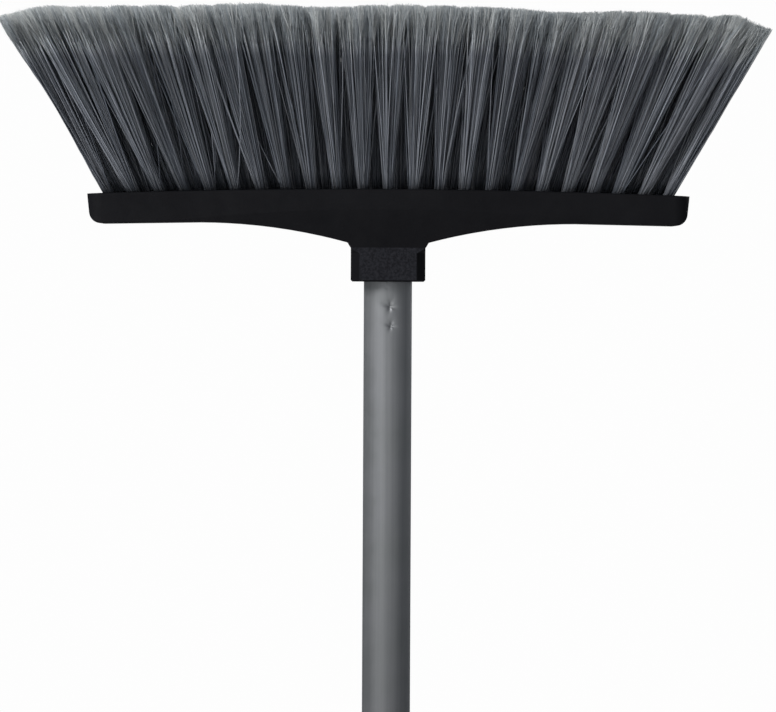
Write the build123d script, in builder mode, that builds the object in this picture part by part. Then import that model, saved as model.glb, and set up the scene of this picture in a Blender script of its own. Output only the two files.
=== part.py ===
"""Push broom: a moulded brush block with staggered bristle tufts, screwed onto a tubular metal handle.

The broom stands on its handle with the bristles up.  X runs along the block, Y through its depth
(the sweeping direction) and Z up the handle.  The origin is the lowest point of the hanging eyelet,
on the handle's axis.  All lengths are in millimetres and all angles in degrees.
"""

from build123d import *
import math
import os

# Handle tube
TUBE_RADIUS = 12.0
TUBE_WALL = 0.5
TUBE_LENGTH = 1180.0
TUBE_ROLL_LENGTH = 1.5
TUBE_ROLL_INSET = 0.3

# Hanging eyelet and the bushing that it turns in
EYELET_HEIGHT = 36.0
EYELET_RADIUS = 11.6
EYELET_TAB_WIDTH = 22.0
EYELET_TAB_THICKNESS = 8.0
EYELET_HOLE_RADIUS = 5.0
EYELET_HOLE_HEIGHT = 12.0
EYELET_TAB_HEIGHT = 18.0
EYELET_SHOULDER = 7.0
STEM_RADIUS = 5.0
STEM_CLEARANCE = 0.06
SNAP_HEAD_RADIUS = 6.2
SNAP_HEAD_HEIGHT = 5.0
SNAP_HEAD_TAPER = 15.0
SNAP_SLOT_WIDTH = 2.6
SWIVEL_GAP = 0.3
BUSHING_FLANGE = 2.0
BUSHING_DEPTH = 20.0
FIT_GAP = 0.1

# Screw between handle and block: a coarse broom thread, right-handed
THREAD_PITCH = 5.08
THREAD_CORE_RADIUS = 7.2
THREAD_CREST_RADIUS = 9.4
THREAD_ROOT_WIDTH = 2.6
THREAD_CREST_WIDTH = 1.2
THREAD_TURNS = 4.5
THREAD_START = 1.9
THREAD_CLEARANCE = 0.3
THREAD_OVERLAP = 0.4
SOCKET_TURNS = 6
SOCKET_DEPTH = 29.0
PLUG_SHOULDER = 1.5
PLUG_NOSE_LENGTH = 26.0
PLUG_SHANK_LENGTH = 32.0
PLUG_WAIST_RADIUS = 10.6
PLUG_WAIST_DROP = 28.0
PLUG_WAIST_LENGTH = 23.0
COUNTERBORE_RADIUS = 12.4
COUNTERBORE_DEPTH = 3.0
SEAT_GAP = 0.3

# Crimps: dents punched into the tube wall, which bite into the waist of the plug's shank
CRIMP_DROPS = (12.3, 22.0)
CRIMP_TURNS = (3.5, 5.5)
CRIMP_RADIUS = 2.6
CRIMP_DEPTH = 1.3

# Brush block
BLOCK_LENGTH = 298.6
BLOCK_DEPTH_MIDDLE = 50.0
BLOCK_DEPTH_END = 42.0
BLOCK_CORNER_RADIUS = 8.0
CROWN_RISE = 2.8
END_DROP = 17.6
END_DRAFT = 1.8
END_CORNER_RADIUS = 6.0
WAIST_HALF_LENGTH = 94.0
WAIST_DROP = 16.6
ARCH_DROP = 26.4
WALL_DROP = 10.0
CHIN_DROP = 29.2
NECK_HALF_WIDTH = 20.2
NECK_CORNER_RADIUS = 1.5
NECK_FLARE = 2.5
COLLAR_WIDTH = 37.0
COLLAR_CORNER = 4.3
COLLAR_RIM = 0.8
SHARP_CORNER = 0.2
EDGE_SOFTENING = 1.0
HEAD_HEIGHT = 45.8

# Bristle tufts, in staggered rows
FRONT_ROW_TUFTS = 23
END_TUFT_X = 138.7
ROW_COUNT = 5
OUTER_ROW_Y = 18.5
END_LEAN = 27.5
OUTER_ROW_LEAN = 9.0
TUFT_RISE = 90.4
END_TUFT_CUT = 6.0
END_CUT_POWER = 4
HOLE_RADIUS = 3.0
HOLE_DEPTH = 11.0
TUFT_BASE_RADIUS = 2.9
TUFT_TIP_RADIUS = 7.2

# Flat wire anchors at the bottom of the tuft holes
ANCHOR_LENGTH = 6.3
ANCHOR_HEIGHT = 2.0
ANCHOR_THICKNESS = 0.4
ANCHOR_LIFT = 1.0
ANCHOR_SLOT_GAP = 0.05

# Heights up the handle's axis
tube_bottom = EYELET_HEIGHT + SWIVEL_GAP + BUSHING_FLANGE
bushing_top = tube_bottom + BUSHING_DEPTH
tube_top = tube_bottom + TUBE_LENGTH
shoulder_top = tube_top + PLUG_SHOULDER
seat = shoulder_top + SEAT_GAP
collar_bottom = seat - COUNTERBORE_DEPTH
head_top = collar_bottom + HEAD_HEIGHT
head_end_top = head_top - CROWN_RISE
tube_bore = TUBE_RADIUS - TUBE_WALL
chin = head_top - CHIN_DROP
half_length = BLOCK_LENGTH / 2
above_block = head_top + EDGE_SOFTENING

os.makedirs("parts", exist_ok=True)


def save(piece, name):
    """Label one finished piece and write its STEP file."""
    piece.label = name
    export_step(piece, f"parts/{name}.step")


def block_half_depth(x):
    """Half of the block's depth at x: its long sides are shallow arcs."""
    bow = (BLOCK_DEPTH_MIDDLE - BLOCK_DEPTH_END) / 2
    return BLOCK_DEPTH_MIDDLE / 2 - bow * (2 * x / BLOCK_LENGTH) ** 2


def tuft_plane(x, row):
    """The plane at a tuft's mouth, its normal along the tuft's lean."""
    row_share = row / (ROW_COUNT // 2)
    y = OUTER_ROW_Y * row_share * 2 * block_half_depth(x) / BLOCK_DEPTH_MIDDLE
    z = head_top - CROWN_RISE * (2 * x / BLOCK_LENGTH) ** 2
    lean_x = math.radians(END_LEAN * x / END_TUFT_X)
    lean_y = math.radians(OUTER_ROW_LEAN * row_share)
    return Plane(
        origin=(x, y, z),
        x_dir=(math.cos(lean_x), 0, -math.sin(lean_x)),
        z_dir=(math.tan(lean_x), math.tan(lean_y), 1),
    )


def tuft_columns():
    """The tufts' planes, one list for each place along the block, from -X to +X."""
    pitch = 2 * END_TUFT_X / (FRONT_ROW_TUFTS - 1)
    for step in range(2 * FRONT_ROW_TUFTS - 1):
        x = -END_TUFT_X + step * pitch / 2
        rows = (-1, 1) if step % 2 else (-2, 0, 2)
        yield [tuft_plane(x, row) for row in rows]


def crimp_centres(depth):
    """Centres of the balls that press the crimps, on the tube's front and back."""
    reach = TUBE_RADIUS - CRIMP_DEPTH + depth
    for drop, turn in zip(CRIMP_DROPS, CRIMP_TURNS):
        for side in (-90, 90):
            angle = math.radians(side + turn)
            yield (reach * math.cos(angle), reach * math.sin(angle), collar_bottom - drop)


def corners_at(sketch, point):
    """A sketch's two corners at a point's height and at its distance from the middle."""
    mirrored = [point, Vector(-point.X, point.Y)]
    return sketch.vertices().filter_by(lambda v: any((Vector(v) - m).length < 0.01 for m in mirrored))


def collar_outline(height, corner):
    """The collar's square outline at a height, with its corners cut off."""
    with BuildSketch(Plane.XY.offset(height)) as outline:
        Rectangle(COLLAR_WIDTH, COLLAR_WIDTH)
        chamfer(outline.vertices(), corner)
    return outline.sketch


columns = list(tuft_columns())
tufts = [plane for column in columns for plane in column]
crimps = list(crimp_centres(CRIMP_RADIUS))

# Handle tube: thin-walled, rolled in a little at its top end and crimped onto the plug below it
with BuildPart() as tube_cavity:
    with BuildSketch(Plane.XY.offset(tube_bottom)):
        Circle(tube_bore)
    extrude(amount=TUBE_LENGTH)
    with Locations(crimps):
        Sphere(CRIMP_RADIUS + TUBE_WALL, mode=Mode.SUBTRACT)

with BuildPart() as handle_tube:
    with BuildSketch(Plane.XY.offset(tube_bottom)):
        Circle(TUBE_RADIUS)
    extrude(amount=TUBE_LENGTH - TUBE_ROLL_LENGTH)
    with BuildSketch(Plane.XY.offset(tube_top - TUBE_ROLL_LENGTH)):
        Circle(TUBE_RADIUS)
    extrude(amount=TUBE_ROLL_LENGTH, taper=math.degrees(math.atan(TUBE_ROLL_INSET / TUBE_ROLL_LENGTH)))
    with Locations(crimps):
        Sphere(CRIMP_RADIUS, mode=Mode.SUBTRACT)
    add(tube_cavity.part, mode=Mode.SUBTRACT)

save(handle_tube.part, "handle_tube")


def thread_profile(path_start, clearance):
    """One tooth of the thread, as an axial section at the start of its helix."""
    root = THREAD_CORE_RADIUS - THREAD_OVERLAP
    crest = THREAD_CREST_RADIUS + clearance
    slope = (THREAD_ROOT_WIDTH - THREAD_CREST_WIDTH) / 2 / (THREAD_CREST_RADIUS - THREAD_CORE_RADIUS)
    crest_half = THREAD_CREST_WIDTH / 2 + clearance
    root_half = crest_half + slope * (crest - root)
    height = path_start.Z
    with BuildSketch(Plane.XZ) as tooth:
        Polygon(
            (root, height - root_half),
            (crest, height - crest_half),
            (crest, height + crest_half),
            (root, height + root_half),
            align=None,
        )
    return tooth.sketch


thread_bottom = shoulder_top + THREAD_START
with BuildPart() as thread_ridge:
    with BuildLine() as ridge_path:
        Helix(THREAD_PITCH, THREAD_TURNS * THREAD_PITCH, THREAD_CORE_RADIUS, center=(0, 0, thread_bottom))
    sweep(thread_profile(ridge_path.line @ 0, 0), path=ridge_path.line, is_frenet=True)

with BuildPart() as socket_groove:
    with BuildLine() as groove_path:
        Helix(
            THREAD_PITCH,
            SOCKET_TURNS * THREAD_PITCH,
            THREAD_CORE_RADIUS,
            center=(0, 0, thread_bottom - THREAD_PITCH),
        )
    sweep(thread_profile(groove_path.line @ 0, THREAD_CLEARANCE), path=groove_path.line, is_frenet=True)

# Threaded plug: a waisted shank inside the tube, a shoulder on the tube's end and the screw above it
with BuildPart() as threaded_plug:
    with BuildSketch(Plane.XY.offset(tube_top - PLUG_SHANK_LENGTH)):
        Circle(tube_bore - FIT_GAP)
    extrude(amount=PLUG_SHANK_LENGTH)
    with BuildSketch(Plane.XY.offset(collar_bottom - PLUG_WAIST_DROP)):
        Circle(tube_bore)
        Circle(PLUG_WAIST_RADIUS, mode=Mode.SUBTRACT)
    extrude(amount=PLUG_WAIST_LENGTH, mode=Mode.SUBTRACT)
    with Locations(crimps):
        Sphere(CRIMP_RADIUS + TUBE_WALL + FIT_GAP, mode=Mode.SUBTRACT)
    with BuildSketch(Plane.XY.offset(tube_top)):
        Circle(TUBE_RADIUS - TUBE_ROLL_INSET)
    extrude(amount=PLUG_SHOULDER)
    with BuildSketch(Plane.XY.offset(shoulder_top)):
        Circle(THREAD_CORE_RADIUS)
    extrude(amount=PLUG_NOSE_LENGTH)
    add(thread_ridge.part)

save(threaded_plug.part, "threaded_plug")

# End bushing: closes the tube's lower end and carries the eyelet's stem
with BuildPart() as end_bushing:
    with BuildSketch(Plane.XY.offset(tube_bottom - BUSHING_FLANGE)):
        Circle(TUBE_RADIUS)
    extrude(amount=BUSHING_FLANGE)
    with BuildSketch(Plane.XY.offset(tube_bottom)):
        Circle(tube_bore - FIT_GAP)
    extrude(amount=BUSHING_DEPTH)
    with BuildSketch(Plane.XY.offset(tube_bottom - BUSHING_FLANGE)):
        Circle(STEM_RADIUS + STEM_CLEARANCE)
    extrude(amount=BUSHING_FLANGE + BUSHING_DEPTH, mode=Mode.SUBTRACT)

save(end_bushing.part, "end_bushing")

# Hanging eyelet: a round cap that flattens to a tab with a hole, snapped into the bushing
with BuildPart() as hanging_eyelet:
    with BuildSketch(Plane.XZ):
        with Locations((0, EYELET_TAB_WIDTH / 2)):
            Circle(EYELET_TAB_WIDTH / 2)
        with BuildLine():
            Polyline(
                (-EYELET_TAB_WIDTH / 2, EYELET_TAB_WIDTH / 2),
                (-EYELET_RADIUS, EYELET_HEIGHT - EYELET_SHOULDER),
                (-EYELET_RADIUS, EYELET_HEIGHT),
                (EYELET_RADIUS, EYELET_HEIGHT),
                (EYELET_RADIUS, EYELET_HEIGHT - EYELET_SHOULDER),
                (EYELET_TAB_WIDTH / 2, EYELET_TAB_WIDTH / 2),
                close=True,
            )
        make_face()
    extrude(amount=EYELET_RADIUS, both=True)
    with BuildSketch(Plane.YZ):
        with BuildLine():
            tab_side = Line((EYELET_TAB_THICKNESS / 2, 0), (EYELET_TAB_THICKNESS / 2, EYELET_TAB_HEIGHT))
            flare = TangentArc(tab_side @ 1, (EYELET_RADIUS, EYELET_HEIGHT - EYELET_SHOULDER), tangent=(0, 1))
            shoulder = Line(flare @ 1, (EYELET_RADIUS, EYELET_HEIGHT))
            Line(shoulder @ 1, (0, EYELET_HEIGHT))
            Line((0, 0), tab_side @ 0)
            mirror(about=Plane.YZ)
        make_face()
    extrude(amount=EYELET_RADIUS, both=True, mode=Mode.INTERSECT)
    with BuildSketch():
        Circle(EYELET_RADIUS)
    extrude(amount=EYELET_HEIGHT, mode=Mode.INTERSECT)
    with BuildSketch(Plane.XZ):
        with Locations((0, EYELET_HOLE_HEIGHT)):
            Circle(EYELET_HOLE_RADIUS)
    extrude(amount=EYELET_RADIUS, both=True, mode=Mode.SUBTRACT)
    with BuildSketch(Plane.XY.offset(EYELET_HEIGHT)):
        Circle(STEM_RADIUS)
    extrude(amount=bushing_top + SWIVEL_GAP - EYELET_HEIGHT)
    with BuildSketch(Plane.XY.offset(bushing_top + SWIVEL_GAP)):
        Circle(SNAP_HEAD_RADIUS)
    extrude(amount=SNAP_HEAD_HEIGHT, taper=SNAP_HEAD_TAPER)
    with BuildSketch(Plane.XY.offset(EYELET_HEIGHT + BUSHING_DEPTH / 2)):
        Rectangle(SNAP_SLOT_WIDTH, 2 * EYELET_RADIUS)
    extrude(amount=EYELET_HEIGHT, mode=Mode.SUBTRACT)

save(hanging_eyelet.part, "hanging_eyelet")

# Brush block: silhouette, plan and cross-section meet in one moulding, with the collar under it
with BuildPart() as brush_block:
    with BuildSketch(Plane.XZ) as silhouette:
        with BuildLine():
            crown = RadiusArc(
                (0, head_top),
                (half_length, head_end_top),
                (half_length**2 + CROWN_RISE**2) / (2 * CROWN_RISE),
            )
            end_face = Line(crown @ 1, (half_length - END_DRAFT, head_top - END_DROP))
            underside = Line(end_face @ 1, (WAIST_HALF_LENGTH, head_top - WAIST_DROP))
            arch = TangentArc(underside @ 1, (NECK_HALF_WIDTH, head_top - ARCH_DROP), tangent=(-1, 0))
            neck = Line(arch @ 1, (COLLAR_WIDTH / 2, chin))
            Line(neck @ 1, (0, chin))
            mirror(about=Plane.YZ)
        make_face()
        fillet(corners_at(silhouette, end_face @ 1), END_CORNER_RADIUS)
        fillet(corners_at(silhouette, arch @ 1), NECK_CORNER_RADIUS)
    extrude(amount=BLOCK_DEPTH_MIDDLE, both=True)
    with BuildSketch(Plane.XY.offset(collar_bottom)) as plan:
        with BuildLine():
            back = ThreePointArc(
                (-half_length, BLOCK_DEPTH_END / 2),
                (0, BLOCK_DEPTH_MIDDLE / 2),
                (half_length, BLOCK_DEPTH_END / 2),
            )
            Line(back @ 1, (half_length, 0))
            Line(back @ 0, (-half_length, 0))
            mirror(about=Plane.XZ)
        make_face()
        fillet(plan.vertices().group_by(Axis.X)[0], BLOCK_CORNER_RADIUS)
        fillet(plan.vertices().group_by(Axis.X)[-1], BLOCK_CORNER_RADIUS)
    extrude(amount=2 * HEAD_HEIGHT, mode=Mode.INTERSECT)
    with BuildSketch(Plane.YZ):
        with BuildLine():
            rise = Line(
                (COLLAR_WIDTH / 2, chin),
                (BLOCK_DEPTH_MIDDLE / 2, head_top - WALL_DROP),
            )
            wall = Line(rise @ 1, (BLOCK_DEPTH_MIDDLE / 2, above_block))
            Line(wall @ 1, (0, above_block))
            Line((0, chin), rise @ 0)
            mirror(about=Plane.YZ)
        make_face()
    extrude(amount=BLOCK_LENGTH, both=True, mode=Mode.INTERSECT)
    fillet(brush_block.edges(Select.LAST), EDGE_SOFTENING)
    extrude(collar_outline(chin - NECK_FLARE, COLLAR_CORNER), amount=collar_bottom - chin + NECK_FLARE)
    loft([collar_outline(chin - NECK_FLARE, COLLAR_CORNER), collar_outline(chin, SHARP_CORNER)])
    extrude(collar_outline(chin, SHARP_CORNER), amount=NECK_FLARE)
    chamfer(brush_block.faces().sort_by(Axis.Z)[0].edges(), COLLAR_RIM)
    with BuildSketch(Plane.XY.offset(collar_bottom)):
        Circle(COUNTERBORE_RADIUS)
    extrude(amount=COUNTERBORE_DEPTH, mode=Mode.SUBTRACT)
    with BuildSketch(Plane.XY.offset(seat)):
        Circle(THREAD_CORE_RADIUS + 2 * THREAD_CLEARANCE)
    extrude(amount=SOCKET_DEPTH, mode=Mode.SUBTRACT)
    add(socket_groove.part, mode=Mode.SUBTRACT)
    with Locations(tufts):
        Cylinder(HOLE_RADIUS, 2 * HOLE_DEPTH, mode=Mode.SUBTRACT)

save(brush_block.part, "brush_block")

# Anchors: one flat piece of wire driven across the bottom of each tuft hole
with BuildPart() as tuft_anchors:
    with Locations([plane.offset(ANCHOR_LIFT - HOLE_DEPTH) for plane in tufts]):
        Box(ANCHOR_LENGTH, ANCHOR_THICKNESS, ANCHOR_HEIGHT, align=(Align.CENTER, Align.CENTER, Align.MIN))

save(tuft_anchors.part, "tuft_anchors")

# Tufts: each is a bundle of filaments, folded round its anchor and flaring from its hole
for number, column in enumerate(columns, start=1):
    with BuildPart() as tuft_column:
        for plane in column:
            rise = TUFT_RISE - END_TUFT_CUT * (plane.origin.X / END_TUFT_X) ** END_CUT_POWER
            length = rise / plane.z_dir.Z
            with BuildSketch(plane.offset(-HOLE_DEPTH)):
                Circle(TUFT_BASE_RADIUS)
            extrude(amount=HOLE_DEPTH)
            with BuildSketch(plane):
                Circle(TUFT_BASE_RADIUS)
            with BuildSketch(plane.offset(length)):
                Circle(TUFT_TIP_RADIUS)
            loft()
        with Locations([plane.offset(ANCHOR_LIFT - HOLE_DEPTH - ANCHOR_SLOT_GAP) for plane in column]):
            Box(
                ANCHOR_LENGTH,
                ANCHOR_THICKNESS + 2 * ANCHOR_SLOT_GAP,
                ANCHOR_HEIGHT + 2 * ANCHOR_SLOT_GAP,
                align=(Align.CENTER, Align.CENTER, Align.MIN),
                mode=Mode.SUBTRACT,
            )
    save(tuft_column.part, f"tuft_column_{number:02d}")
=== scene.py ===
import math

import bpy
import numpy as np
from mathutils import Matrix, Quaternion, Vector


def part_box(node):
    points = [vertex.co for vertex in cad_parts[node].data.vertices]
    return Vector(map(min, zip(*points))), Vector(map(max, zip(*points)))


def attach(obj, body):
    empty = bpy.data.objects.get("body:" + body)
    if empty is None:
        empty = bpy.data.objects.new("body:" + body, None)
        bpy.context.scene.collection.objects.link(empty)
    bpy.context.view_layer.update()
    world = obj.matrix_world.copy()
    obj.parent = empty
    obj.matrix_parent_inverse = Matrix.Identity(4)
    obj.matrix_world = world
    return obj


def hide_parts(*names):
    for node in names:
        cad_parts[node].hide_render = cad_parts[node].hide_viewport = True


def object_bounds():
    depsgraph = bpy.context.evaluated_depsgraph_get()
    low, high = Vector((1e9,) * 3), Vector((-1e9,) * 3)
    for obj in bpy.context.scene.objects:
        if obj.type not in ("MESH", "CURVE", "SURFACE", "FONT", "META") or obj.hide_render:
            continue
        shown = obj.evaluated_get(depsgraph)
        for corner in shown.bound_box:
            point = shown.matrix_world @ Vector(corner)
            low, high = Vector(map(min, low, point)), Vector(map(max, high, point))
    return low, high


# The push broom's looks.  Everything is in metres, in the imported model's own frame: X along the
# block, Y through its depth, Z up the handle.  Noise scales are in cells per metre.

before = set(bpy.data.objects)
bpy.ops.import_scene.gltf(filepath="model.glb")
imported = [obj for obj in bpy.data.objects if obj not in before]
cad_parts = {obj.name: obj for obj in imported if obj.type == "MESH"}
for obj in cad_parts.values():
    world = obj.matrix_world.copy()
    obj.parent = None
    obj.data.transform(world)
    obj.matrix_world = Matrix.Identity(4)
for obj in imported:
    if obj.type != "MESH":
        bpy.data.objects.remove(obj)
cad_low, cad_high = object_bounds()

MM = 0.001
SEED = 41
rng = np.random.default_rng(SEED)

# Where things are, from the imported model
COLLAR_DROP = 29.2 * MM      # from the block's top down to its collar's upper edge
block_low, block_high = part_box("brush_block")
tube_low, tube_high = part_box("handle_tube")
tuft_names = sorted(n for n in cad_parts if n.startswith("tuft_column"))
block_top = block_high.z
tube_radius = (tube_high.x - tube_low.x) / 2
collar_top = block_top - COLLAR_DROP


def add_object(name, data):
    """A new object in the scene that holds a mesh, a lamp or a camera."""
    thing = bpy.data.objects.new(name, data)
    bpy.context.scene.collection.objects.link(thing)
    return thing


def point_at(thing, place, target):
    """Puts a lamp or a camera at place, facing target."""
    thing.location = place
    thing.rotation_mode = "QUATERNION"
    thing.rotation_quaternion = (Vector(target) - Vector(place)).to_track_quat("-Z", "Y")


def climb(value, start, reach):
    """0 up to start, then evenly up to 1 at start + reach, and 1 from there on."""
    return np.clip((value - start) / reach, 0, 1)


# ---------------------------------------------------------------------------------------------
# Camera, light and backdrop
# ---------------------------------------------------------------------------------------------
SENSOR_WIDTH = 36.0          # in millimetres, as Blender counts it
VIEW_WIDTH = 0.3870          # what the picture spans at the handle's axis
VIEW_DISTANCE = 2.5
VIEW_SHIFT = 0.0002          # the middle of the picture is this far right of the handle's axis
VIEW_DROP = 0.0829           # and this far below the block's top
VIEW_CENTRE = Vector((VIEW_SHIFT, 0.0, block_top - VIEW_DROP))
CAMERA_LIFT = 0.045          # the lens is a little higher than the middle of the picture
CAMERA_ROLL = math.radians(0.28)

HEAD = (0, 0, block_top)
LOWER_HANDLE = (0, 0, 0.4)
# Name, place, what it faces, length of a side, power in watts
SOFTBOXES = (
    ("key", (-2.0, -2.0, block_top + 1.45), HEAD, 1.2, 76),
    ("front_fill", (0.6, -2.7, block_top - 0.2), HEAD, 2.0, 6),
    ("back_fill", (1.2, 1.9, block_top + 1.0), HEAD, 2.0, 16),
    ("low_fill", (-0.9, -1.6, 0.5), LOWER_HANDLE, 1.6, 7),
)

SURROUND_COLOUR = (0.80, 0.86, 0.95, 1)
SURROUND_STRENGTH = 0.21
BACKDROP_COLOUR = (1, 1, 1, 1)
BACKDROP_BRIGHTNESS = 0.985


def set_display():
    """The plain display transform, so that the backdrop is white right up to the outline."""
    bpy.context.scene.view_settings.view_transform = "Standard"


def make_camera():
    """A near-level camera in front of the head, at the photo's angle."""
    data = bpy.data.cameras.new("camera")
    data.sensor_width = SENSOR_WIDTH
    data.lens = data.sensor_width * VIEW_DISTANCE / VIEW_WIDTH
    camera = add_object("camera", data)
    place = VIEW_CENTRE + Vector((0, -VIEW_DISTANCE, CAMERA_LIFT))
    point_at(camera, place, VIEW_CENTRE)
    view_axis = Vector((0, 0, 1))
    camera.rotation_quaternion = camera.rotation_quaternion @ Quaternion(view_axis, CAMERA_ROLL)
    bpy.context.scene.camera = camera


def make_lights():
    """One big soft source high on the left in front, with weak fills so no side is lost."""
    for name, place, target, size, power in SOFTBOXES:
        data = bpy.data.lights.new(name, "AREA")
        data.shape = "SQUARE"
        data.size = size
        data.energy = power
        point_at(add_object(name, data), place, target)


def background(tree, colour, strength):
    """One background shader for the world."""
    node = tree.nodes.new("ShaderNodeBackground")
    node.inputs["Color"].default_value = colour
    node.inputs["Strength"].default_value = strength
    return node.outputs["Background"]


def make_world():
    """A soft grey surround that the camera itself sees as a plain white backdrop."""
    world = bpy.data.worlds.new("studio")
    bpy.context.scene.world = world
    world.use_nodes = True
    tree = world.node_tree
    tree.nodes.clear()
    ray = tree.nodes.new("ShaderNodeLightPath")
    mix = tree.nodes.new("ShaderNodeMixShader")
    out = tree.nodes.new("ShaderNodeOutputWorld")
    seen_by_camera, lighting, backdrop = mix.inputs
    tree.links.new(ray.outputs["Is Camera Ray"], seen_by_camera)
    tree.links.new(background(tree, SURROUND_COLOUR, SURROUND_STRENGTH), lighting)
    tree.links.new(background(tree, BACKDROP_COLOUR, BACKDROP_BRIGHTNESS), backdrop)
    tree.links.new(mix.outputs["Shader"], out.inputs["Surface"])


# ---------------------------------------------------------------------------------------------
# Materials
# ---------------------------------------------------------------------------------------------
# A mix node has a set of sockets for each kind of data.  These are the ones for colours.
MIX_FACTOR = 0
MIX_COLOURS = (6, 7)
MIX_RESULT = 2
FACING_LIMIT = 0.95          # how squarely a face has to look along X or Y to count as flat on


class Shade:
    """One node material, with short ways to add the nodes that these materials share."""

    def __init__(self, name, roughness, metallic=0.0, specular=0.5):
        self.material = bpy.data.materials.new(name)
        self.material.use_nodes = True
        self.nodes = self.material.node_tree.nodes
        self.links = self.material.node_tree.links
        self.shader = self.nodes["Principled BSDF"]
        self.shader.inputs["Roughness"].default_value = roughness
        self.shader.inputs["Metallic"].default_value = metallic
        self.shader.inputs["Specular IOR Level"].default_value = specular

    def feed(self, socket, value):
        """Links another node's output into a socket, or sets a plain number on it."""
        if isinstance(value, bpy.types.NodeSocket):
            self.links.new(value, socket)
        else:
            socket.default_value = value

    def place(self, stretch=(1, 1, 1)):
        """The object's own coordinates in metres, stretched along each axis."""
        coordinates = self.nodes.new("ShaderNodeTexCoord")
        mapping = self.nodes.new("ShaderNodeMapping")
        mapping.inputs["Scale"].default_value = stretch
        self.links.new(coordinates.outputs["Object"], mapping.inputs["Vector"])
        return mapping.outputs["Vector"]

    def noise(self, scale, detail=3.0, stretch=(1, 1, 1), rough=0.55):
        """Noise from 0 to 1 that stays with the object."""
        node = self.nodes.new("ShaderNodeTexNoise")
        node.inputs["Scale"].default_value = scale
        node.inputs["Detail"].default_value = detail
        node.inputs["Roughness"].default_value = rough
        self.links.new(self.place(stretch), node.inputs["Vector"])
        return node.outputs["Fac"]

    def math(self, operation, one, two):
        """A sum, a product or the like of two values."""
        node = self.nodes.new("ShaderNodeMath")
        node.operation = operation
        for socket, value in zip(node.inputs, (one, two)):
            self.feed(socket, value)
        return node.outputs["Value"]

    def remap(self, value, low, high, start, end, easing="LINEAR"):
        """Goes from start where value is low to end where it is high, and stays there."""
        node = self.nodes.new("ShaderNodeMapRange")
        node.interpolation_type = easing
        limits = {"From Min": low, "From Max": high, "To Min": start, "To Max": end}
        for title, number in limits.items():
            node.inputs[title].default_value = number
        self.links.new(value, node.inputs["Value"])
        return node.outputs["Result"]

    def rise(self, low, high, start=0.0, end=1.0):
        """Goes from start at the height low to end at the height high, and stays there."""
        node = self.nodes.new("ShaderNodeSeparateXYZ")
        self.links.new(self.place(), node.inputs["Vector"])
        return self.remap(node.outputs["Z"], low, high, start, end)

    def facing_axis(self):
        """1 on faces that look straight along X or Y, 0 on slanted ones."""
        coordinates = self.nodes.new("ShaderNodeTexCoord")
        node = self.nodes.new("ShaderNodeSeparateXYZ")
        self.links.new(coordinates.outputs["Normal"], node.inputs["Vector"])
        across = self.math("ABSOLUTE", node.outputs["X"], 0.0)
        along = self.math("ABSOLUTE", node.outputs["Y"], 0.0)
        return self.math("GREATER_THAN", self.math("MAXIMUM", across, along), FACING_LIMIT)

    def attribute(self, name):
        """A value that the mesh carries on its points."""
        node = self.nodes.new("ShaderNodeAttribute")
        node.attribute_name = name
        return node.outputs["Fac"]

    def ramp(self, factor, stops):
        """Colours or greys at places from 0 to 1."""
        node = self.nodes.new("ShaderNodeValToRGB")
        elements = node.color_ramp.elements
        while len(elements) < len(stops):
            elements.new(0.5)
        for element, (position, colour) in zip(elements, stops):
            element.position = position
            rgb = (colour,) * 3 if isinstance(colour, float) else colour
            element.color = (*rgb, 1)
        self.links.new(factor, node.inputs["Fac"])
        return node.outputs["Color"]

    def mix(self, factor, one, two, blend="MIX"):
        """Two colours blended."""
        node = self.nodes.new("ShaderNodeMix")
        node.data_type = "RGBA"
        node.blend_type = blend
        for index, value in zip((MIX_FACTOR, *MIX_COLOURS), (factor, one, two)):
            self.feed(node.inputs[index], value)
        return node.outputs[MIX_RESULT]

    def bump(self, height, strength, distance):
        """Fine relief, too small to be worth real faces."""
        node = self.nodes.new("ShaderNodeBump")
        node.inputs["Strength"].default_value = strength
        node.inputs["Distance"].default_value = distance
        self.links.new(height, node.inputs["Height"])
        self.links.new(node.outputs["Normal"], self.shader.inputs["Normal"])

    def colour(self, socket):
        self.links.new(socket, self.shader.inputs["Base Color"])

    def roughness(self, socket):
        self.links.new(socket, self.shader.inputs["Roughness"])


PLASTIC_ROUGHNESS = 0.65
PLASTIC_GLOSS = ((0.3, 0.58), (0.7, 0.74))
BLOCK_SPECULAR = 0.1
BLOCK_DARK = (0.0045, 0.0045, 0.0058)
BLOCK_LIGHT = (0.0070, 0.0070, 0.0084)
PAD_FADE = 2 * MM            # the collar's coarse grain ends over this height
PAD_GRAIN = ((0.38, (0.0075, 0.0076, 0.0100)), (0.62, (0.0190, 0.0195, 0.0240)))
CAP_SPECULAR = 0.25
CAP_DARK = (0.008, 0.008, 0.009)
CAP_LIGHT = (0.013, 0.013, 0.014)


def moulded_plastic(name, dark, light, specular):
    """Black moulded plastic with a fine spark-eroded grain and faint dusty patches."""
    shade = Shade(name, PLASTIC_ROUGHNESS, specular=specular)
    patches = shade.noise(scale=28.0, detail=4.0)
    shade.colour(shade.ramp(patches, ((0.35, dark), (0.68, light))))
    shade.roughness(shade.ramp(shade.noise(scale=160.0, detail=2.0), PLASTIC_GLOSS))
    shade.bump(shade.noise(scale=1300.0, detail=3.0), strength=0.5, distance=0.00015)
    return shade


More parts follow.
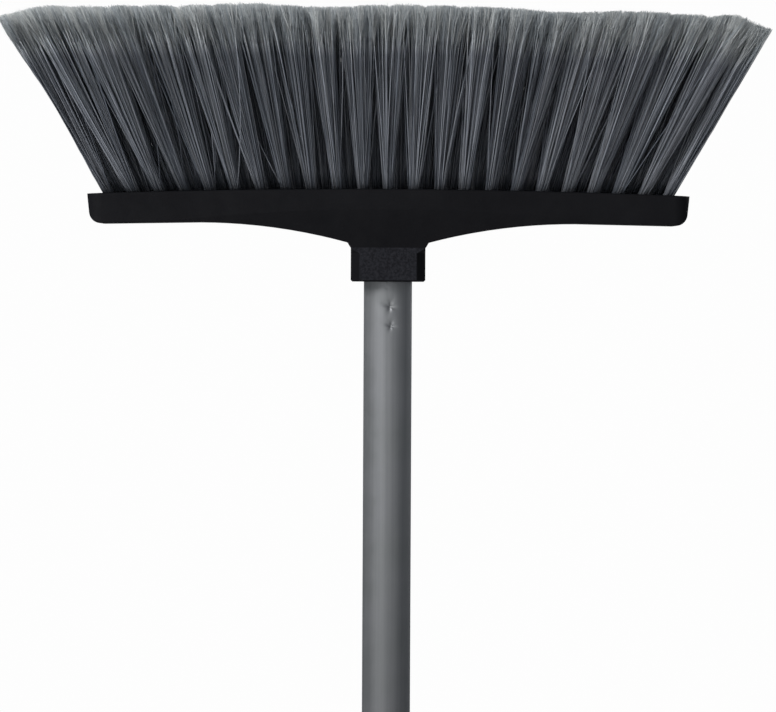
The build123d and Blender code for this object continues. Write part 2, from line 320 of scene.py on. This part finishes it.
def block_plastic():
    """The block's black plastic; the collar's four flat faces carry a coarser, paler grain."""
    shade = moulded_plastic("block_plastic", BLOCK_DARK, BLOCK_LIGHT, BLOCK_SPECULAR)
    plain = shade.shader.inputs["Base Color"].links[0].from_socket
    on_collar = shade.rise(collar_top, collar_top + PAD_FADE, start=1.0, end=0.0)
    pad = shade.math("MULTIPLY", on_collar, shade.facing_axis())
    grain = shade.ramp(shade.noise(scale=850.0, detail=2.0, rough=0.7), PAD_GRAIN)
    shade.colour(shade.mix(pad, plain, grain))
    return shade.material


def cap_plastic():
    """The plug's, the bushing's and the eyelet's plastic, a little paler and glossier."""
    return moulded_plastic("cap_plastic", CAP_DARK, CAP_LIGHT, CAP_SPECULAR).material


TUBE_STREAKS = ((0.3, (0.185, 0.190, 0.198)), (0.7, (0.222, 0.226, 0.232)))
TUBE_SOIL = ((0.38, (0.90, 0.91, 0.895)), (0.62, 0.97))
# Painted light and shade: what the coating's colour is multiplied by, from far down the handle to
# near the head
TUBE_PAINTED_FALLOFF = ((0.0, 0.78), (1.0, 1.17))
TUBE_GLOSS = ((0.3, 0.46), (0.7, 0.56))
DRAWN_OUT = (1, 1, 0.012)    # noise stretched far along the tube
LENGTHENED = (1, 1, 0.3)     # and a little
PAINTED_FALLOFF_LENGTH = 240 * MM      # painted light and shade: the coating is painted palest near the head and darker over this length
CRIMP_ZONE = 34 * MM         # the stretch below the tube's top end that holds the crimps


def tube_paint():
    """Satin grey coating: fine drawn streaks, faint mottling, and painted light and shade, paler near
    the head and darker further down.
    """
    shade = Shade("tube_metal", roughness=0.5, metallic=0.55, specular=0.4)
    streaks = shade.noise(scale=420.0, stretch=DRAWN_OUT)
    mottle = shade.noise(scale=45.0, detail=4.0)
    base = shade.ramp(streaks, TUBE_STREAKS)
    worn = shade.mix(1.0, base, shade.ramp(mottle, TUBE_SOIL), "MULTIPLY")
    # Painted light and shade: the coating is painted paler near the head and darker further down the
    # handle.
    falloff_height = shade.rise(tube_high.z - PAINTED_FALLOFF_LENGTH, tube_high.z - CRIMP_ZONE)
    painted_falloff = shade.ramp(falloff_height, TUBE_PAINTED_FALLOFF)
    shade.colour(shade.mix(1.0, worn, painted_falloff, "MULTIPLY"))
    shade.roughness(shade.ramp(shade.noise(scale=90.0, detail=4.0), TUBE_GLOSS))
    relief = shade.noise(scale=700.0, detail=2.0, stretch=LENGTHENED)
    shade.bump(relief, strength=0.06, distance=0.0001)
    return shade.material


WIRE_COLOURS = ((0.3, (0.42, 0.42, 0.43)), (0.7, (0.58, 0.58, 0.59)))


def anchor_wire():
    """Drawn flat steel wire."""
    shade = Shade("anchor_wire", roughness=0.4, metallic=1.0)
    shade.colour(shade.ramp(shade.noise(scale=900.0), WIRE_COLOURS))
    return shade.material


FILAMENT_LENGTH = (          # from the hole, over the shaft, to the split end
    (0.0, (0.150, 0.158, 0.174)),
    (0.25, (0.140, 0.149, 0.165)),
    (0.74, (0.157, 0.167, 0.184)),
    (0.84, (0.366, 0.384, 0.391)),
    (1.0, (0.500, 0.522, 0.513)),
)
FILAMENT_TONE = (            # what the strand's own tone multiplies that by; its dark end is also painted bluer, for the cool tint of shade
    (0.0, (0.33, 0.34, 0.38)),
    (0.45, (0.83, 0.87, 0.93)),
    (0.6, (1.05, 1.03, 1.02)),
    (1.0, (1.95, 1.96, 2.0)),
)


def filament():
    """Cool grey filament: each strand has its own tone, and its split end is lighter."""
    shade = Shade("bristle_filament", roughness=0.42, specular=0.4)
    length = shade.ramp(shade.attribute("along"), FILAMENT_LENGTH)
    tone = shade.ramp(shade.attribute("tone"), FILAMENT_TONE)
    shade.colour(shade.mix(1.0, length, tone, "MULTIPLY"))
    return shade.material


# ---------------------------------------------------------------------------------------------
# Bristles
# ---------------------------------------------------------------------------------------------
# The tufts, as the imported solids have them
HOLE_DEPTH = 11 * MM
BOTTOM_SLICE = 0.3 * MM      # vertices this near a tuft's lowest point are its bottom face
TOP_SLICE = 0.9 * MM
MIDDLE_ROW = 3 * MM          # only a column with a middle tuft has vertices this near Y = 0
BETWEEN_ROWS = 9 * MM        # and this is between that tuft and its neighbours
INNER_ROWS = 14 * MM         # the front and back rows stand further out than this
END_REACH = 160 * MM         # tufts whose tips lie beyond this form the fan's two edges

# The strands of a tuft
STRANDS_PER_TUFT = 104
STRAND_RADIUS = (0.17 * MM, 0.27 * MM)
SHAFT_TAPER = np.array([1.0, 1.0, 1.0, 0.98, 0.94, 0.85, 0.7])
OUTER_ROOT_RADIUS = 2.35 * MM
INNER_ROOT_RADIUS = 3.1 * MM
ROOT_SINK = 3 * MM           # strands start this far down in their holes
ROOT_JITTER = 0.04           # a share of the tuft's radius, as drift and jitter below are too
TIP_SPREAD = 9.0 * MM        # a tuft's radius at the trim
CLUMPS_PER_TUFT = 9
CLUMP_GATHER = 0.42          # how far a clump's strands draw together at their tips
CLUMP_DRIFT = 0.14
LOOSE_SHARE = 0.30
LOOSE_JITTER = 0.48
BOUND_JITTER = 0.08
STRAY_SHARE = 0.02
STRAY_SPREAD = 9 * MM
STRAY_REACH = 168 * MM       # no stray tip goes further out than this
BOW = 0.5 * MM
BOW_SHAPE = (1, 1, 0.1)      # sideways mostly
STRAY_BOW = 4                # times as much
SHORT_SHARE = 0.06           # strands that the trim missed
SHORT_BY = 5 * MM
PRISM_SIDES = 3

# Their split ends
FLAGS_PER_STRAND = 5
FLAG_RADIUS = 0.10 * MM
FLAG_TAPER = np.array([1.3, 1.0, 0.8])
FLAG_STEPS = np.array([0.0, 0.5, 1.0])
FLAG_SHARE = (0.07, 0.20)    # the split part of a strand, as a share of its length
FLAG_OVERLAP = 0.02          # it starts this share below the shaft's end
FLAG_SPREAD = 1.5 * MM
FLAG_CURL = 0.25 * MM
FLAG_PROUD = 0.1 * MM        # the most that it may stand above the trim
FRIZZ_SHARE = 0.006          # split ends that curl far out of line
FRIZZ_CURL = 9               # times as much
SIDEWAYS = (1, 1, 0)

# Tones, from 0 for the darkest strand to 1 for the lightest
MID_TONE = 0.5
OUTER_ROW_LIT_TONE = 0.52            # painted light and shade: the front and back rows' strands are painted lighter, the inner rows' darker for the shade that the outer rows cast on them
INNER_ROW_SHADED_TONE = 0.32
EDGE_TONE = 0.17             # added to the tufts at both edges, which are clear of the others' shade
TONE_SPREAD = 0.34
CLUMP_TONE = 0.07
TUFT_TONE = 0.03
FLAG_TONE = 0.07
FLAG_CONTRAST = 0.42         # split ends differ in tone less than their shafts do
ROOT_EVENNESS = 0.40         # how much of the strands' difference in tone is lost at their roots
ROOT_ZONE = 0.45             # up to this share of their length
TIP_EVENNESS = 0.45          # and how much at their tips
TIP_ZONE = (0.78, 0.94)      # where that loss starts, and where it is complete

# The trim line.  Heights are in millimetres, everything else in metres.
TRIM_RISE = 89.4 * MM
TRIM_JITTER = 0.15 * MM
CORNER_START = 0.165         # both ends are cut back from here outwards
CORNER_REACH = 0.027
CORNER_POWER = 1.2
CORNER_HEIGHT = 7.0
DROOP_START = 0.03           # and the right half droops
DROOP_REACH = 0.15
DROOP_HEIGHT = 4.0
STEP_LEFT = -0.099           # the middle stands a little higher
STEP_RIGHT = 0.040
STEP_SOFTNESS = 0.005
STEP_HEIGHT = 0.4
LUMP_PLACE = 0.172           # with one lump near the right end
LUMP_WIDTH = 0.006
LUMP_HEIGHT = 1.4
TUFT_PITCH_AT_TRIM = 17.4 * MM
NOTCH_POWER = 3
NOTCH_DEPTH = 0.55
# Slow waves: height, length over 2 pi, phase
NOTCH_WAVE = (0.5, 0.0213, 0.7)
SHORT_WAVE = (0.45, 0.0096, 1.9)
LONG_WAVE = (0.5, 0.0173, 0.0)

# The fan's outline
EDGE_PUSH = 3.0 * MM         # the tufts at the edges lean further out and fill the outline
EDGE_ROOT = 142.9 * MM       # where the outline leaves the block
EDGE_SLOPE_RIGHT = 0.574
EDGE_SLOPE_LEFT = 0.535      # the left edge starts steeper, then bends out by LEFT_CURL
LEFT_CURL = 4.8 * MM
CURL_START = 38 * MM         # the bend starts this far above the block
CURL_END = 12 * MM           # and ends this far below the trim
DEPTH_REACH = 50.5 * MM      # no strand goes further forward or back than this
FOLD = 0.35                  # how much of what lay outside is folded back in


class Tuft:
    """Where one tuft of a column starts and ends, read from its CAD solid's vertices."""

    def __init__(self, points):
        middle = points.mean(axis=0)
        axis = np.linalg.svd(points - middle, full_matrices=False)[2][0]
        axis = axis * np.sign(axis[2])
        run = (points - middle) @ axis
        bottom_face = points[run < run.min() + BOTTOM_SLICE]
        top_face = points[run > run.max() - TOP_SLICE]
        bottom = (bottom_face.min(axis=0) + bottom_face.max(axis=0)) / 2
        self.tip = (top_face.min(axis=0) + top_face.max(axis=0)) / 2
        self.axis = (self.tip - bottom) / np.linalg.norm(self.tip - bottom)
        self.root = bottom + self.axis * HOLE_DEPTH
        self.side = np.cross(self.axis, (0, 1, 0))
        self.side /= np.linalg.norm(self.side)
        self.front = np.cross(self.side, self.axis)
        self.is_outer = abs(self.root[1]) > INNER_ROWS
        self.is_edge = abs(self.tip[0]) > END_REACH


def tufts_of(name):
    """The two or three tufts in a column stand apart in Y."""
    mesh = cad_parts[name].data
    points = np.empty(len(mesh.vertices) * 3)
    mesh.vertices.foreach_get("co", points)
    points = points.reshape(-1, 3)
    y = points[:, 1]
    limit = BETWEEN_ROWS if np.any(np.abs(y) < MIDDLE_ROW) else 0.0
    row = np.sign(y) * (np.abs(y) > limit)
    return [Tuft(points[row == r]) for r in np.unique(row)]


def sunflower(count):
    """Evenly packed points in the unit disc."""
    golden_angle = math.pi * (3 - math.sqrt(5))
    index = np.arange(count) + 0.5
    radius = np.sqrt(index / count)
    angle = index * golden_angle
    return radius * np.cos(angle), radius * np.sin(angle)


def wave(x, height, length, phase):
    """A sine wave along X."""
    return height * np.sin(x / length + phase)


def trim_height(x):
    """The height of the trimmed tips: nearly flat, drooping to the right, cut back at both ends.

    Small notches fall between the front row's tufts, some deeper than others.
    """
    corner = climb(np.abs(x), CORNER_START, CORNER_REACH)
    droop = climb(x, DROOP_START, DROOP_REACH)
    step = climb(x, STEP_LEFT, STEP_SOFTNESS) * climb(-x, -STEP_RIGHT, STEP_SOFTNESS)
    lump = np.exp(-(((x - LUMP_PLACE) / LUMP_WIDTH) ** 2))
    cusp = (1 - np.abs(np.sin(math.pi * x / TUFT_PITCH_AT_TRIM))) ** NOTCH_POWER
    depth = NOTCH_DEPTH + wave(x, *NOTCH_WAVE)
    swell = wave(x, *SHORT_WAVE) + wave(x, *LONG_WAVE)
    lift = swell - depth * cusp - CORNER_HEIGHT * corner**CORNER_POWER - DROOP_HEIGHT * droop
    lift = lift + STEP_HEIGHT * step + LUMP_HEIGHT * lump
    return block_top + TRIM_RISE + lift * MM


def fan_edge(height, side):
    """How far out the fan's outline stands at a height: straight on the right, curled on the left."""
    rise = height - block_top
    curl = climb(rise, CURL_START, TRIM_RISE - CURL_START - CURL_END)
    curl = curl * curl * (3 - 2 * curl)
    right = EDGE_ROOT + EDGE_SLOPE_RIGHT * rise
    left = EDGE_ROOT + EDGE_SLOPE_LEFT * rise + LEFT_CURL * curl
    return np.where(side > 0, right, left)


def folded(path):
    """Turns back, in place, any strand that would leave the fan's outline or its depth."""
    side = np.sign(path[..., 0])
    over = np.abs(path[..., 0]) - fan_edge(path[..., 2], side)
    path[..., 0] -= side * np.where(over > 0, over * (1 + FOLD), 0)
    deep = np.abs(path[..., 1]) - DEPTH_REACH
    path[..., 1] -= np.sign(path[..., 1]) * np.where(deep > 0, deep * (1 + FOLD), 0)
    return path


class Strands:
    """Collects thin three-sided prisms and turns them into one mesh."""

    def __init__(self):
        self.points = []
        self.quads = []
        self.caps = []
        self.tone = []
        self.along = []
        self.count = 0

    def add(self, paths, radii, tone, along):
        """paths is (strands, rings, 3); radii, tone and along are (strands, rings)."""
        strands, rings, _ = paths.shape
        run = paths[:, -1] - paths[:, 0]
        run /= np.linalg.norm(run, axis=1, keepdims=True)
        aside = np.cross(run, (0.0, 1.0, 0.0))
        aside /= np.linalg.norm(aside, axis=1, keepdims=True)
        ahead = np.cross(run, aside)
        turn = rng.uniform(0, 2 * math.pi, strands)[:, None]
        turn = turn + np.arange(PRISM_SIDES) * 2 * math.pi / PRISM_SIDES
        spoke = np.cos(turn)[..., None] * aside[:, None] + np.sin(turn)[..., None] * ahead[:, None]
        corners = paths[:, :, None] + spoke[:, None] * radii[:, :, None, None]
        first = self.count + (np.arange(strands) * rings * PRISM_SIDES)[:, None, None]
        ring = (np.arange(rings - 1) * PRISM_SIDES)[None, :, None]
        side = np.arange(PRISM_SIDES)[None, None, :]
        a = first + ring + side
        b = first + ring + (side + 1) % PRISM_SIDES
        quads = np.stack([a, b, b + PRISM_SIDES, a + PRISM_SIDES], axis=-1)
        self.quads.append(quads.reshape(-1, 4))
        start = first[:, 0] + np.array([[0, 2, 1]])
        end = first[:, 0] + (rings - 1) * PRISM_SIDES + np.array([[0, 1, 2]])
        self.caps.append(np.concatenate([start, end]))
        self.points.append(corners.reshape(-1, 3))
        self.tone.append(np.repeat(tone.ravel(), PRISM_SIDES))
        self.along.append(np.repeat(along.ravel(), PRISM_SIDES))
        self.count += strands * rings * PRISM_SIDES

    def build(self, name, material):
        """One object with all the prisms, and their tones and lengths as point values."""
        mesh = bpy.data.meshes.new(name)
        faces = np.concatenate(self.quads).tolist() + np.concatenate(self.caps).tolist()
        mesh.from_pydata(np.concatenate(self.points).tolist(), [], faces)
        mesh.polygons.foreach_set("use_smooth", np.ones(len(mesh.polygons), bool))
        for title, values in (("tone", self.tone), ("along", self.along)):
            layer = mesh.attributes.new(title, "FLOAT", "POINT")
            layer.data.foreach_set("value", np.concatenate(values))
        mesh.materials.append(material)
        return add_object(name, mesh)


def bent(start, end, bow, shares):
    """Points at each strand's own shares of the way from start to end, bowed in the middle."""
    s = shares[..., None]
    return start[:, None] * (1 - s) + end[:, None] * s + bow[:, None] * (4 * s * (1 - s))


def clumped(a, b):
    """Draws the strands of a tuft together into a few clumps, and says which clump each is in."""
    heads = rng.choice(len(a), CLUMPS_PER_TUFT, replace=False)
    nearest = np.hypot(a[:, None] - a[heads], b[:, None] - b[heads]).argmin(axis=1)
    drift = rng.normal(0, CLUMP_DRIFT, (CLUMPS_PER_TUFT, 2))[nearest]
    head_a = a[heads][nearest]
    head_b = b[heads][nearest]
    a = a + (head_a - a) * CLUMP_GATHER + drift[:, 0]
    b = b + (head_b - b) * CLUMP_GATHER + drift[:, 1]
    return a, b, nearest


def strand_ends(tuft):
    """Where the strands of one tuft leave its hole, and where the trim cuts them off."""
    count = STRANDS_PER_TUFT
    a, b = sunflower(count)
    a = a + rng.normal(0, ROOT_JITTER, count)
    b = b + rng.normal(0, ROOT_JITTER, count)
    radius = OUTER_ROOT_RADIUS if tuft.is_outer else INNER_ROOT_RADIUS
    root = radius * (a[:, None] * tuft.side + b[:, None] * tuft.front)
    root += tuft.root - tuft.axis * ROOT_SINK
    a, b, clump = clumped(a, b)
    jitter = np.where(rng.random(count) < LOOSE_SHARE, LOOSE_JITTER, BOUND_JITTER)
    a = a + rng.normal(0, 1, count) * jitter
    b = b + rng.normal(0, 1, count) * jitter
    tip = tuft.tip + TIP_SPREAD * (a[:, None] * tuft.side + b[:, None] * tuft.front)
    if tuft.is_edge:
        tip[:, 0] += np.sign(tuft.tip[0]) * EDGE_PUSH
    stray = rng.random(count) < STRAY_SHARE
    aside = tip[stray, 0] + rng.normal(0, STRAY_SPREAD, stray.sum())
    tip[stray, 0] = np.clip(aside, -STRAY_REACH, STRAY_REACH)
    height = trim_height(tip[:, 0]) + rng.normal(0, TRIM_JITTER, count)
    height -= np.where(rng.random(count) < SHORT_SHARE, rng.uniform(0, SHORT_BY, count), 0)
    run = tip - root
    tip = root + run * ((height - root[:, 2]) / run[:, 2])[:, None]
    bow = rng.normal(0, BOW, (count, 3)) * BOW_SHAPE
    bow[stray] *= STRAY_BOW
    return root, tip, bow, clump


def strand_tones(tuft, clump):
    """Each strand's tone: its row's, with the inner rows painted darker as shade, give or take its
    tuft's, its clump's and its own.
    """
    # Painted shade: the inner rows' strands are painted darker than the front and back rows'.
    middle = OUTER_ROW_LIT_TONE if tuft.is_outer else INNER_ROW_SHADED_TONE
    lit = EDGE_TONE if tuft.is_edge else 0.0
    clump_tone = rng.normal(0, CLUMP_TONE, CLUMPS_PER_TUFT)[clump]
    tone = rng.normal(middle + lit, TONE_SPREAD, len(clump)) + clump_tone
    return np.clip(tone + rng.normal(0, TUFT_TONE), 0, 1)


def add_shafts(strands, root, tip, bow, tone, split):
    """The shafts, from the hole to where they split; their tones even out at both ends."""
    radius = rng.uniform(*STRAND_RADIUS, len(tone))[:, None]
    shares = split * np.linspace(0, 1, len(SHAFT_TAPER))
    contrast = 1 - ROOT_EVENNESS * np.clip(1 - shares / ROOT_ZONE, 0, 1)
    contrast -= TIP_EVENNESS * climb(shares, TIP_ZONE[0], TIP_ZONE[1] - TIP_ZONE[0])
    shaft_tone = MID_TONE + (tone[:, None] - MID_TONE) * contrast
    path = folded(bent(root, tip, bow, shares))
    strands.add(path, radius * SHAFT_TAPER, shaft_tone, shares)


def add_split_ends(strands, root, tip, bow, tone, split):
    """The split ends: a few thin fibres from where each shaft ends up to the trim."""
    count = len(tone)
    shape = (count, len(FLAG_STEPS))
    start = folded(bent(root, tip, bow, split - FLAG_OVERLAP))[:, 0]
    tip = folded(tip)
    over_trim = np.minimum(tip[:, 2] - trim_height(tip[:, 0]), FLAG_PROUD)
    steps = np.broadcast_to(FLAG_STEPS, shape)
    radii = np.broadcast_to(FLAG_RADIUS * FLAG_TAPER, shape)
    along = split + (1 - split) * FLAG_STEPS
    for _ in range(FLAGS_PER_STRAND):
        end = tip + rng.normal(0, FLAG_SPREAD, (count, 3)) * SIDEWAYS
        end[:, 2] = trim_height(end[:, 0]) + over_trim
        end[:, 2] += rng.normal(0, TRIM_JITTER, count)
        curl = rng.normal(0, FLAG_CURL, (count, 3))
        curl[rng.random(count) < FRIZZ_SHARE] *= FRIZZ_CURL
        path = folded(bent(start, end, curl, steps))
        own = rng.normal(0, FLAG_TONE, count)
        flag_tone = np.clip(MID_TONE + (tone - MID_TONE) * FLAG_CONTRAST + own, 0, 1)
        strands.add(path, radii, np.broadcast_to(flag_tone[:, None], shape), along)


def fill_tuft(tuft, strands):
    """All strands of one tuft: straight shafts that fan out, then their split ends."""
    root, tip, bow, clump = strand_ends(tuft)
    tone = strand_tones(tuft, clump)
    split = 1 - rng.uniform(*FLAG_SHARE, len(tone))[:, None]
    add_shafts(strands, root, tip, bow, tone, split)
    add_split_ends(strands, root, tip, bow, tone, split)


def make_bristles(material):
    """One piece for each column of tufts, in the place of its CAD solids."""
    for name in tuft_names:
        strands = Strands()
        for tuft in tufts_of(name):
            fill_tuft(tuft, strands)
        piece = strands.build(name.replace("tuft_column", "bristles"), material)
        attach(piece, "head")
        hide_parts(name)


# ---------------------------------------------------------------------------------------------
# Handle tube
# ---------------------------------------------------------------------------------------------
TUBE_WALL = 0.5 * MM
TUBE_SIDES = 192
PLAIN_RINGS = 24             # on the long plain stretch below the crimps
CRIMP_STEP = 0.25 * MM       # between rings where the crimps are
FRONT = -math.pi / 2         # the angle that looks along -Y
# How far below the collar, how far round from the front in radians, and how deep and wide.
# Each crimp has a twin on the back.  The dents are shallow hollows, on the front only.
CRIMPS = (
    (12.2 * MM, 0.10, 1.52 * MM, 1.70 * MM),
    (21.9 * MM, 0.13, 1.38 * MM, 1.35 * MM),
)
DENTS = (
    (11.4 * MM, 0.02, 0.33 * MM, 4.2 * MM),
    (20.8 * MM, 0.14, 0.25 * MM, 3.0 * MM),
    (3.1 * MM, -0.05, 0.25 * MM, 0.8 * MM),
)
CREASES = 4                  # they run out of each pit
CREASE_REACH = 0.28
CREASE_TURN = 0.9
PIT_POWER = 1.25             # below 2, so the pit is sharp
ROLL_LENGTH = 1.5 * MM       # the tube's top end is rolled in over this length
ROLL_INSET = 0.3 * MM
SHARP_EDGE = math.radians(50)


def from_dent(angle, z, drop, turn):
    """How far each point of the wall is from a dent's centre, round the tube and up it."""
    across = tube_radius * np.angle(np.exp(1j * (angle - FRONT - turn)))
    return across, z - (block_low.z - drop)


def dent(angle, z, drop, turn, depth, width):
    """How far one smooth dent presses the wall in."""
    across, up = from_dent(angle, z, drop, turn)
    return depth * np.exp(-((across**2 + up**2) / width**2))


def crimp(angle, z, drop, turn, depth, width):
    """How far one punched crimp presses the wall in: a sharp pit with creases running out of it."""
    across, up = from_dent(angle, z, drop, turn)
    reach = width * (1 + CREASE_REACH * np.cos(CREASES * np.arctan2(up, across) + CREASE_TURN))
    return depth * np.exp(-((np.hypot(across, up) / reach) ** PIT_POWER))


def pressed_in(angle, z):
    """How far all the crimps and dents together press the wall in, at each height and angle."""
    press = np.zeros((len(z), len(angle)))
    for drop, turn, depth, width in CRIMPS:
        for side in (0.0, math.pi):
            press += crimp(angle[None], z[:, None], drop, turn + side, depth, width)
    for place in DENTS:
        press += dent(angle[None], z[:, None], *place)
    return press


def tube_heights():
    """The wall's rings, close together only where the crimps are."""
    zone = tube_high.z - CRIMP_ZONE
    plain = np.linspace(tube_low.z, zone, PLAIN_RINGS, endpoint=False)
    fine = np.arange(zone, tube_high.z, CRIMP_STEP)
    return np.concatenate([plain, fine, [tube_high.z]])


def ring_quads(rings, sides):
    """Faces between rings of points, with the last ring joined to the first."""
    row = np.arange(rings)[:, None]
    col = np.arange(sides)[None]
    after = (row + 1) % rings
    beside = (col + 1) % sides
    corners = [row * sides + col, row * sides + beside, after * sides + beside, after * sides + col]
    return np.stack(corners, axis=-1).reshape(-1, 4)


def make_tube(material):
    """The tube as a drawn wall, up its outside and back down its bore, with its crimps pressed in."""
    z = tube_heights()
    angle = np.arange(TUBE_SIDES) * 2 * math.pi / TUBE_SIDES
    roll = ROLL_INSET * climb(z - tube_high.z, -ROLL_LENGTH, ROLL_LENGTH)
    outer = tube_radius - pressed_in(angle, z) - roll[:, None]
    radius = np.concatenate([outer, (outer - TUBE_WALL)[::-1]])
    height = np.broadcast_to(np.concatenate([z, z[::-1]])[:, None], radius.shape)
    points = np.stack([radius * np.cos(angle), radius * np.sin(angle), height], axis=-1)
    mesh = bpy.data.meshes.new("tube_wall")
    faces = ring_quads(len(radius), TUBE_SIDES)
    mesh.from_pydata(points.reshape(-1, 3).tolist(), [], faces.tolist())
    mesh.polygons.foreach_set("use_smooth", np.ones(len(mesh.polygons), bool))
    mesh.materials.append(material)
    mesh.set_sharp_from_angle(angle=SHARP_EDGE)
    piece = add_object("tube_wall", mesh)
    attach(piece, "handle")
    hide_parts("handle_tube")


# ---------------------------------------------------------------------------------------------
# Floor
# ---------------------------------------------------------------------------------------------
FLOOR_HALF = 4.0
FLOOR_GAP = MM               # between the floor and the object's lowest point
FLOOR_COLOURS = ((0.3, (0.78, 0.78, 0.77)), (0.7, (0.84, 0.84, 0.83)))
FLOOR_SHADOW_REACH = 0.4     # the floor is plainest this far round the foot
FLOOR_CLEARNESS = 0.55       # and even there this share of it is the backdrop's white
FLOOR_CLEAR_REACH = 3.4      # from here on all of it is


def floor_paint():
    """A pale floor that catches a soft shadow round the foot and clears into the white backdrop."""
    shade = Shade("pale_floor", roughness=0.7, specular=0.2)
    shade.colour(shade.ramp(shade.noise(scale=3.0), FLOOR_COLOURS))
    distance = shade.nodes.new("ShaderNodeVectorMath")
    distance.operation = "LENGTH"
    shade.links.new(shade.place(), distance.inputs["Vector"])
    reach = (FLOOR_SHADOW_REACH, FLOOR_CLEAR_REACH)
    clear = shade.remap(distance.outputs["Value"], *reach, FLOOR_CLEARNESS, 1.0, "SMOOTHSTEP")
    ray = shade.nodes.new("ShaderNodeLightPath")
    white = shade.nodes.new("ShaderNodeEmission")
    white.inputs["Strength"].default_value = BACKDROP_BRIGHTNESS
    mix = shade.nodes.new("ShaderNodeMixShader")
    whiteness, floor, backdrop = mix.inputs
    shade.feed(whiteness, shade.math("MULTIPLY", clear, ray.outputs["Is Camera Ray"]))
    shade.feed(floor, shade.shader.outputs["BSDF"])
    shade.feed(backdrop, white.outputs["Emission"])
    shade.feed(shade.nodes["Material Output"].inputs["Surface"], mix.outputs["Shader"])
    return shade.material


def make_floor():
    """A plain square under the object."""
    half = FLOOR_HALF
    z = cad_low.z - FLOOR_GAP
    corners = [(-half, -half, z), (half, -half, z), (half, half, z), (-half, half, z)]
    mesh = bpy.data.meshes.new("floor")
    mesh.from_pydata(corners, [], [(0, 1, 2, 3)])
    mesh.materials.append(floor_paint())
    floor = add_object("floor", mesh)


# ---------------------------------------------------------------------------------------------
# Pieces that keep their CAD meshes
# ---------------------------------------------------------------------------------------------
def paint(name, material):
    """Gives a CAD node its finish."""
    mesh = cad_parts[name].data
    mesh.materials.clear()
    mesh.materials.append(material)


def paint_cad_pieces():
    """The block, the plug, the bushing, the eyelet and the anchors."""
    caps = cap_plastic()
    paint("brush_block", block_plastic())
    paint("threaded_plug", caps)
    paint("end_bushing", caps)
    paint("hanging_eyelet", caps)
    paint("tuft_anchors", anchor_wire())


set_display()
make_camera()
make_lights()
make_world()
make_floor()
make_bristles(filament())
make_tube(tube_paint())
paint_cad_pieces()
